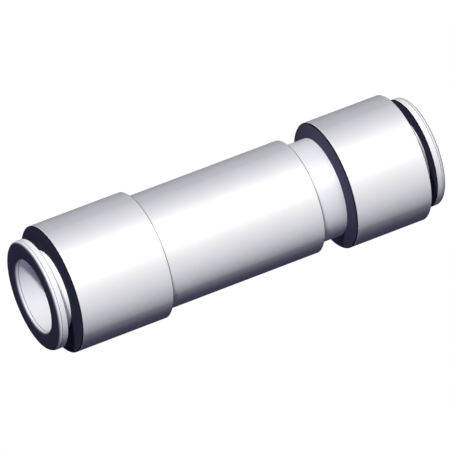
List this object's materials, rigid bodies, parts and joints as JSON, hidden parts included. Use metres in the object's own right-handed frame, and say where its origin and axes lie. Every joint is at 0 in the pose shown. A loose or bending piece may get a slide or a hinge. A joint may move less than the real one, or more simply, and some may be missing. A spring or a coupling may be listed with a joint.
{
  "type": "quick-connect non-return valve",
  "caption": "In-line non-return valve of turned metal: a push-in tube socket with a release ring at each end, and a sprung poppet in the barrel between them.",
  "frame": {"origin": "middle of the outlet release ring's flat face, on which the valve stands", "axes": "+Z along the valve's axis, from the outlet to the inlet; the valve is round, so +X is free"},
  "size_m": [0.0144, 0.0144, 0.0471],
  "materials": {
    "plated_body": "satin",
    "plated_bush": "satin",
    "plated_ring": "satin",
    "bare_brass": "satin",
    "spring_steel": "polished",
    "acetal": "matte",
    "seal_rubber": "matte"
  },
  "bodies": {
    "housing": {"inlet_body": "plated_body", "outlet_body": "plated_body", "body_seal": "seal_rubber", "valve_sleeve": "bare_brass", "sleeve_seal": "seal_rubber", "stem_guide": "acetal", "guide_clip": "spring_steel", "return_spring": "spring_steel", "inlet_guide_bush": "plated_bush", "inlet_grab_ring": "spring_steel", "inlet_support_ring": "bare_brass", "inlet_tube_seal": "seal_rubber", "outlet_guide_bush": "plated_bush", "outlet_grab_ring": "spring_steel", "outlet_support_ring": "bare_brass", "outlet_tube_seal": "seal_rubber"},
    "inlet_ring": {"inlet_release_ring": "plated_ring"},
    "outlet_ring": {"outlet_release_ring": "plated_ring"},
    "valve_poppet": {"poppet": "acetal", "poppet_seal": "seal_rubber"}
  },
  "joints": [
    {"name": "inlet_release", "type": "slide", "parent": "housing", "child": "inlet_ring", "axis": [0, 0, -1], "range_m": [0, 0.0011], "stiffness_N_per_m": 2000, "springref_m": -0.002},
    {"name": "outlet_release", "type": "slide", "parent": "housing", "child": "outlet_ring", "axis": [0, 0, 1], "range_m": [0, 0.0011], "stiffness_N_per_m": 2000, "springref_m": -0.002},
    {"name": "poppet_lift", "type": "slide", "parent": "housing", "child": "valve_poppet", "axis": [0, 0, -1], "range_m": [0, 0.0017], "stiffness_N_per_m": 150, "springref_m": -0.004, "deforming": ["return_spring"]}
  ]
}
